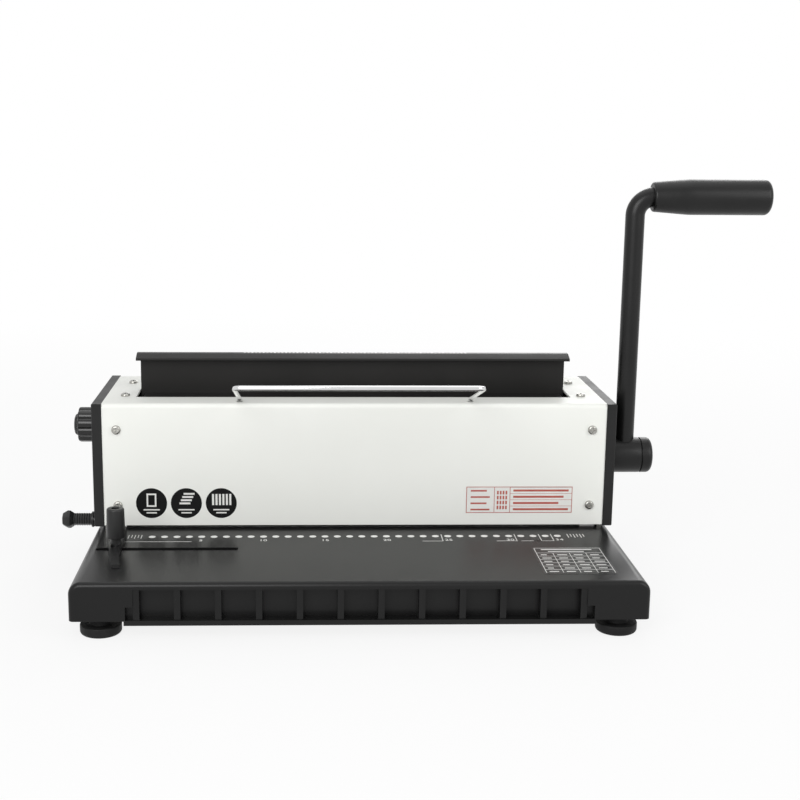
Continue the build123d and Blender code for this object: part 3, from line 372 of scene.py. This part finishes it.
def makeKnobs():
    low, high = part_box("gap_knob")
    centre = np.array([high.x, (low.y + high.y) / 2, (low.z + high.z) / 2])
    k = gapKnob
    length = (high.x - low.x) / mm - k["bossH"]
    end = length + k["bossH"]
    corners = [(0, k["spindleHoleR"]), (0, k["r"]), (length, k["r"]), (length, k["bossR"]), (end, k["bossR"]),
               (end, 0.01)]
    outline = roundedOutline(corners, [0, 0.8, 1.4, 0.5, k["bossH"] * 0.9, 0], 6)

    def lobed(points, v):  # radius falls by depth * (1 - |cos| ** 0.6) between the lobes, more towards the rim
        rim = np.clip((points[:, 1] - k["lobesFromR"]) / k["lobesFullIn"], 0, 1)[:, None]
        return 1 - k["depth"] * rim * (1 - np.abs(np.cos(v * k["lobes"] / 2)) ** 0.6)[None, :]

    knob = turned("gapKnob", outline, centre, (-1, 0, 0), (0, 0, 1), 160, lobed)
    finished(knob, materials["knobGloss"], "gap_setting", "knob_black", "gap_knob")

    low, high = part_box("margin_knob")
    centre = np.array([low.x, (low.y + high.y) / 2, (low.z + high.z) / 2])
    k = marginKnob
    length = (high.x - low.x) / mm
    corners = [(0, 0.01), (0, k["faceR"]), (k["headFrom"], k["headR"]), (k["headTo"], k["headR"]),
               (k["neckAt"], k["shankR"])]
    flangeAt = length - k["flangeT"]
    along = np.linspace(k["neckAt"] + 0.3, flangeAt - 0.4, 60)
    wave = 1 - np.cos(along * 2 * math.pi / k["ridge"])
    ridges = np.column_stack([along, k["shankR"] - k["ridgeDepth"] * wave])
    flange = [(flangeAt, k["flangeR"]), (length - 0.3, k["flangeR"]), (length, k["flangeR"] - 0.4),
              (length, k["rodHoleR"])]
    outline = np.vstack([roundedOutline(corners, [0, 0.5, 0.8, 0.8, 0.4], 5), ridges, flange])

    def faceted(points, v):  # six softened flats: radius = cos 30 / cos(angle from the middle of a flat)
        flat = math.cos(math.pi / 6) / np.cos(np.mod(v, math.pi / 3) - math.pi / 6)
        share = np.where(points[:, 0] < flangeAt - 0.1, k["flatShare"], 0.0)[:, None]
        return 1 - share * (1 - flat[None, :])

    knob = turned("marginKnob", outline, centre, (1, 0, 0), (0, 0, 1), 96, faceted)
    finished(knob, materials["softBlack"], "margin_setting", "knob_black", "margin_knob")

    low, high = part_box("clamp_knob")
    centre = np.array([(low.x + high.x) / 2, (low.y + high.y) / 2, high.z])
    k = clampKnob
    base, screwR = -k["height"], k["screwR"]
    tip = base - k["screwLength"]
    corners = [(-k["holeDepth"], 0.01), (-k["holeDepth"], k["holeR"]), (0, k["holeR"]), (0, k["topR"]),
               (base, k["footR"]), (base, screwR + 0.05), (base - 0.3, screwR), (tip, screwR), (tip, 0.01)]
    outline = roundedOutline(corners, [0, 0.3, 0.4, 1.2, 0.5, 0, 0, 0.4, 0], 5)
    knob = turned("clampKnob", outline[::-1], centre, (0, 0, 1), (1, 0, 0), 64)
    finished(knob, materials["softBlack"], "guide_clamp", "knob_black", "clamp_knob")
    print("knobs")


# ---- wire rack
rack = {"r": 1.7, "bend": 5.0, "stem": 2.2}


def makeRack():
    low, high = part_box("wire_rack")
    r = rack["r"] * mm
    left, right, back, front = low.x + r, high.x - r, high.y - r, low.y + r
    top, knee = high.z - r, coverHigh.z + rack["stem"] * mm
    corners = [(left, back, low.z), (left, back, knee), (left, front, top), (right, front, top), (right, back, knee),
               (right, back, low.z)]
    path = bentPath(corners, rack["bend"] * mm, 0.8 * mm)
    finished(tube("wireRack", path, r, 24), materials["chromeWire"], "rack", "chrome", "wire_rack")
    print("rack")


# ---- feet
foot = {"discH": 6.5, "neckR": 7.0, "bottomRound": 2.2, "topRound": 0.8, "recessR": 3.8, "recessH": 4.5}


def makeFeet():
    for where in ("front_left", "front_right", "rear_left", "rear_right"):
        low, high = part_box("foot_" + where)
        r, h = (high.x - low.x) / 2 / mm, (high.z - low.z) / mm
        f = foot
        corners = [(f["recessH"], 0.01), (f["recessH"], f["recessR"]), (0, f["recessR"]), (0, r), (f["discH"], r),
                   (f["discH"], f["neckR"]), (h, f["neckR"]), (h, 0.01)]
        outline = roundedOutline(corners, [0, 0.2, 0.4, f["bottomRound"], f["topRound"], 0.8, 0, 0], 6)
        centre = np.array([(low.x + high.x) / 2, (low.y + high.y) / 2, low.z])
        name = "foot" + where.title().replace("_", "")
        piece = turned(name, outline, centre, (0, 0, 1), (1, 0, 0), 64)
        finished(piece, materials["footRubber"], "machine", "rubber", "foot_" + where)
    print("feet")


# ---- printed marks and stickers, and painted shade along the slot, thin closed plates on the surface
def disc(x, y, r, steps=40):
    v = np.linspace(0, 2 * math.pi, steps, endpoint=False)
    return np.column_stack([x + r * np.cos(v), y + r * np.sin(v)])


def bar(x0, y0, x1, y1):
    return np.array([(x0, y0), (x1, y0), (x1, y1), (x0, y1)], float)


def stroke(x0, y0, x1, y1, width):
    along = np.array([x1 - x0, y1 - y0], float)
    side = np.array([-along[1], along[0]]) / np.linalg.norm(along) * width / 2
    a, b = np.array([x0, y0]), np.array([x1, y1])
    return np.array([a - side, b - side, b + side, a + side])


def frameLines(x0, y0, x1, y1, w):
    return [bar(x0, y0, x1, y0 + w), bar(x0, y1 - w, x1, y1), bar(x0, y0 + w, x0 + w, y1 - w),
            bar(x1 - w, y0 + w, x1, y1 - w)]


def captionLines(x, z):  # two short bars under an icon
    return [bar(x - 5.6, z - 5.2, x + 5.6, z - 4.3), bar(x - 3.6, z - 7.4, x + 3.6, z - 6.5)]


def digits(text, x, y, size):
    curve = bpy.data.curves.new("digits", "FONT")
    curve.body, curve.size, curve.align_x, curve.align_y = text, size, "CENTER", "CENTER"
    curve.resolution_u = 3
    item = bpy.data.objects.new("digits", curve)
    bpy.context.collection.objects.link(item)
    flat = bpy.data.meshes.new_from_object(item.evaluated_get(bpy.context.evaluated_depsgraph_get()))
    points = np.array([v.co[:2] for v in flat.vertices]) + (x, y)
    faces = [points[list(p.vertices)] for p in flat.polygons]
    bpy.data.objects.remove(item)
    bpy.data.meshes.remove(flat)
    return faces


def marks(name, outlines, place, across, up, look, body, slot, low=0.0, high=0.06):
    # Every outline (u, v) becomes a prism: place + u * across + v * up, from low to high along the normal.
    across, up = np.array(across, float), np.array(up, float)
    normal = np.cross(across, up)
    points, faces, start = [], [], 0
    for outline in outlines:
        flat = outline[:, :1] * across + outline[:, 1:] * up
        n = len(flat)
        points += [flat + low * normal, flat + high * normal]
        faces.append(tuple(range(start + n, start + 2 * n)))
        faces.append(tuple(range(start + n - 1, start - 1, -1)))
        k = np.arange(n)
        nxt = (k + 1) % n
        faces += np.column_stack([start + k, start + nxt, start + n + nxt, start + n + k]).tolist()
        start += 2 * n
    piece = meshPiece(name, place + np.vstack(points) * mm, faces)
    return finished(piece, materials[look], body, slot)


scale = {"holes": 34, "pitch": 8.4667, "dot": 2.4, "row": -20.0, "numberRow": -28.5, "numberSize": 5.6,
         "numbered": (5, 10, 15, 20, 25, 30, 34), "bracketAt": (24, 30, 32, 33), "bracketLength": 14,
         "lineRow": -31.0, "lineTop": -16.0, "lineWidth": 0.5, "endTick": 147, "endTickStep": 2.2}
slotShade = {"x0": -174, "x1": -79.6, "side": 3.1, "half": 0.6}
chart = {"x0": 117.0, "x1": 164.5, "y0": -100.5, "y1": -46.0, "rule": 0.35, "rulesAt": (12.5, 23.5, 34.5),
         "entries": ((4, 6), (15, 6.5), (26, 6.5), (37, 7))}  # entries as (start, length) of their dashes
badges = {"x": (-141.9, -117.7, -93.4), "z": 18.2, "r": 10.8}
label = {"x0": 77.8, "x1": 153.4, "z0": 10.4, "z1": 30.2}
jawScale = {"x0": -79.0, "x1": 83.0, "step": 2.7, "width": 1.5, "front": -4.6, "back": -2.8}


def makeMarks():
    panel, right, back, up = onPanel(0, 0, 0), (1, 0, 0), (0, 1, 0), (0, 0, 1)
    x = (np.arange(scale["holes"]) - (scale["holes"] - 1) / 2) * scale["pitch"]
    y, line, top, width = scale["row"], scale["lineRow"], scale["lineTop"], scale["lineWidth"]
    shapes = [disc(v, y, scale["dot"], 20) for v in x]
    for count in scale["numbered"]:
        shapes += digits(str(count), x[count - 1], scale["numberRow"], scale["numberSize"])
    for count in scale["bracketAt"]:  # brackets for the paper sizes
        edge = x[count - 1] + scale["pitch"] / 2
        shapes += [stroke(edge, line, edge, top, width),
                   stroke(edge - scale["bracketLength"], line, edge, line, width)]
    for side in (-1, 1):  # close ticks beyond both ends
        for k in range(6):
            v = side * (scale["endTick"] + scale["endTickStep"] * k)
            shapes.append(stroke(v, y - (2 if k % 2 else 4), v, top, width))
    shapes.append(stroke(-158, line, -112, line, width))
    knobLow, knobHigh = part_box("clamp_knob")
    slotY, c = ((knobLow.y + knobHigh.y) / 2 - panelMiddle[1]) / mm, slotShade
    # two black bars along the slot's sides are painted shade: they widen the slot's dark opening
    shade = [bar(c["x0"], slotY + side * c["side"] - c["half"], c["x1"], slotY + side * c["side"] + c["half"])
             for side in (-1, 1)]
    marks("slotPaintedShade", shade, panel, right, back, "blackInkAndShade", "machine", "base_black", 0, 0.03)
    marks("tableScale", shapes, panel, right, back, "whiteInk", "machine", "white_paint")

    x0, x1, y0, y1 = chart["x0"], chart["x1"], chart["y0"], chart["y1"]
    film = [bar(x0, y0, x1, y1)]
    marks("chartFilm", film, panel, right, back, "darkFilm", "machine", "base_black", 0, 0.1)
    rows, rule = np.linspace(y0 + 2, y1 - 12, 7), chart["rule"]
    lines = [bar(x0 + 1.5, v, x1 - 1.5, v + rule) for v in rows]
    lines += frameLines(x0 + 1.5, y0 + 2, x1 - 1.5, y1 - 1.5, 0.4)
    lines += [bar(x0 + v, y0 + 2, x0 + v + rule, y1 - 12) for v in chart["rulesAt"]]
    for k, v in enumerate(rows[:-1]):  # short dashes stand for the entries
        for column, (at, length) in enumerate(chart["entries"]):
            shift = 0.7 * ((k * 3 + column * 5) % 4)
            lines.append(bar(x0 + at, v + 2.4, x0 + at + length - shift, v + 3.6))
    lines += [bar(x0 + 6, y1 - 5.5, x0 + 40, y1 - 4.0), bar(x0 + 10, y1 - 9.5, x0 + 34, y1 - 8.4)]
    marks("chartLines", lines, panel, right, back, "whiteInk", "machine", "white_paint", 0.1, 0.16)

    spots = [disc(v, badges["z"], badges["r"], 64) for v in badges["x"]]
    marks("badges", spots, panel, right, up, "blackInkAndShade", "machine", "base_black")
    z = badges["z"]
    a, b, c = badges["x"]
    icons = frameLines(a - 3.4, z - 2.6, a + 3.4, z + 7.0, 1.1)
    icons += captionLines(a, z)
    icons += [bar(b - 4.8 + k, z - 0.8 + 2.3 * k, b + 2.8 + k, z + 0.5 + 2.3 * k) for k in range(4)]
    icons += captionLines(b, z)
    icons += [bar(c - 6.4 + 2.4 * k, z - 1.4, c - 5.0 + 2.4 * k, z + 6.6) for k in range(6)]
    icons += captionLines(c, z)
    marks("badgeIcons", icons, panel, right, up, "labelFilm", "machine", "white_paint", 0.06, 0.1)

    x0, x1, z0, z1 = label["x0"], label["x1"], label["z0"], label["z1"]
    marks("labelFilm", [bar(x0, z0, x1, z1)], panel, right, up, "labelFilm", "machine", "white_paint")
    lines = frameLines(x0 + 0.4, z0 + 0.4, x1 - 0.4, z1 - 0.4, 0.45)
    lines += [bar(x0 + 20, z0 + 0.8, x0 + 20.4, z1 - 0.8), bar(x0 + 31, z0 + 0.8, x0 + 31.4, z1 - 0.8)]
    for k in range(4):
        v = z0 + 2.2 + 4.55 * k
        lines += [bar(x0 + 33.5, v, x1 - 3 - 3.5 * (k * 2 % 3), v + 1.5),
                  bar(x0 + 31.4, v + 3.0, x1 - 0.8, v + 3.25), bar(x0 + 3.5, v, x0 + 17 - 2.2 * (k % 2), v + 1.2)]
    marks("labelLines", lines, panel, right, up, "redInk", "machine", "white_paint", 0.06, 0.1)
    squares = []
    for k in range(16):
        u, v = x0 + 22 + 2.0 * (k % 4), z0 + 3 + 3.6 * (k // 4)
        squares.append(bar(u, v, u + 1.2, v + 2.6))
    marks("labelSquares", squares, panel, right, up, "redInk", "machine", "white_paint", 0.06, 0.1)

    jawHigh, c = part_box("closing_jaw")[1], jawScale
    lip = np.array([panelMiddle[0], jawHigh.y, jawHigh.z])
    ticks = [bar(v, c["front"], v + c["width"], c["back"] + 0.5 * (k % 3))
             for k, v in enumerate(np.arange(c["x0"], c["x1"], c["step"]))]
    marks("jawTicks", ticks, lip, right, back, "whiteInk", "press", "white_paint", 0.0, 0.06)
    print("marks")


# ---- the other frame nodes keep their shape and get a finish
def finishFrame():
    looksOf = {"zinc": "zincPlate", "steel": "groundSteel", "bronze": "bronze", "socket_grey": "capPlastic",
               "knob_black": "knobGloss", "lever_black": "leverPaint", "jaw_black": "jawPaint", "chrome": "chromeWire",
               "base_black": "baseTop", "white_paint": "whitePaint", "cap_black": "capPlastic", "rubber": "footRubber",
               "grip_black": "gripRubber", "tray_black": "trayPlastic"}
    slotOf = {part["node"]: part["material_slot"] for part in frame["record"]["subparts"]}
    for node, piece in frame["nodes"].items():
        piece.data.materials.clear()
        piece.data.materials.append(materials[looksOf[slotOf[node]]])
    print("frame nodes", len(frame["nodes"]))


# ---- surroundings
cameraView = {"lens": 61.21, "shift": 0.0649, "down": 11.766, "turn": -1.943, "roll": 0.444,
              "place": (-36.48, -917.91, 283.14)}  # millimetres from the panel's middle at table height
# x, y, z and size in millimetres, power in watts
lamps = {"key": (-450, -1100, 650, 800, 10), "fill": (900, -700, 600, 700, 4), "top": (0, 200, 1300, 1200, 3),
         "rear": (400, 1300, 700, 900, 6)}
room = {"floorHalf": 6, "floorGrey": 0.86, "floorRough": 0.9, "whiteNear": 0.84, "near": 0.35, "far": 1.3,
        "skyLight": 0.35}  # lengths in metres


def makeStage():
    floorZ = cadBox[0].z
    half = room["floorHalf"]
    corners = [(-half, -half, floorZ), (half, -half, floorZ), (half, half, floorZ), (-half, half, floorZ)]
    floor = meshPiece("floor", corners, [(0, 1, 2, 3)])
    paper, tree, shader, place = startMaterial("paleFloor")
    shader.inputs["Base Color"].default_value = (*[room["floorGrey"]] * 3, 1)
    shader.inputs["Roughness"].default_value = room["floorRough"]
    seen = tree.nodes.new("ShaderNodeLightPath")  # the camera and reflections see it nearly white, with a soft shadow
    either = tree.nodes.new("ShaderNodeMath")
    either.operation = "MAXIMUM"
    tree.links.new(seen.outputs["Is Camera Ray"], either.inputs[0])
    tree.links.new(seen.outputs["Is Glossy Ray"], either.inputs[1])
    far = tree.nodes.new("ShaderNodeVectorMath")
    far.operation = "LENGTH"
    tree.links.new(place, far.inputs[0])
    share = spread(tree, far.outputs["Value"], room["whiteNear"], 1.0, room["near"], room["far"])
    both = tree.nodes.new("ShaderNodeMath")
    both.operation = "MULTIPLY"
    tree.links.new(either.outputs[0], both.inputs[0])
    tree.links.new(share, both.inputs[1])
    white = tree.nodes.new("ShaderNodeEmission")
    white.inputs["Color"].default_value = (1, 1, 1, 1)
    mix = tree.nodes.new("ShaderNodeMixShader")
    tree.links.new(both.outputs[0], mix.inputs["Fac"])
    tree.links.new(shader.outputs[0], mix.inputs[1])
    tree.links.new(white.outputs[0], mix.inputs[2])
    tree.links.new(mix.outputs[0], tree.nodes["Material Output"].inputs["Surface"])
    floor.data.materials.append(paper)
    for name, (x, y, z, size, power) in lamps.items():
        light = bpy.data.lights.new(name, "AREA")
        light.shape = "SQUARE"
        light.size = size * mm
        light.energy = power
        lamp = bpy.data.objects.new(name, light)
        lamp.location = onPanel(x, y, z)
        lamp.rotation_mode = "QUATERNION"
        lamp.rotation_quaternion = (Vector(onPanel(0, 0, 60)) - lamp.location).to_track_quat("-Z", "Y")
        bpy.context.collection.objects.link(lamp)
    world = bpy.data.worlds.new("softLight")
    world.use_nodes = True
    tree = world.node_tree
    sky = tree.nodes["Background"]
    sky.inputs["Color"].default_value = (1, 1, 1, 1)
    seen = tree.nodes.new("ShaderNodeLightPath")
    strength = None
    for ray in ("Is Camera Ray", "Is Glossy Ray", "Is Transmission Ray"):
        step = tree.nodes.new("ShaderNodeMath")
        step.operation = "MAXIMUM"
        step.inputs[0].default_value = room["skyLight"]
        if strength is not None:
            tree.links.new(strength, step.inputs[0])
        tree.links.new(seen.outputs[ray], step.inputs[1])
        strength = step.outputs[0]
    tree.links.new(strength, sky.inputs["Strength"])
    bpy.context.scene.world = world
    scene = bpy.context.scene
    scene.view_settings.view_transform = "Standard"
    view = cameraView
    camera = bpy.data.objects.new("camera", bpy.data.cameras.new("camera"))
    camera.data.lens, camera.data.shift_x = view["lens"], view["shift"]
    camera.data.sensor_width = 36
    camera.data.clip_end = 20
    camera.location = onPanel(*view["place"])
    turn, tilt, roll = (Matrix.Rotation(math.radians(angle), 3, axis) for angle, axis in
                        ((view["turn"], "Z"), (90 - view["down"], "X"), (view["roll"], "Z")))
    camera.rotation_mode = "QUATERNION"
    camera.rotation_quaternion = (turn @ tilt @ roll).to_quaternion()
    bpy.context.collection.objects.link(camera)
    scene.camera = camera
    print("stage")


finishFrame()
makeShells()
makeLever()
makeKnobs()
makeRack()
makeFeet()
makeMarks()
makeStage()
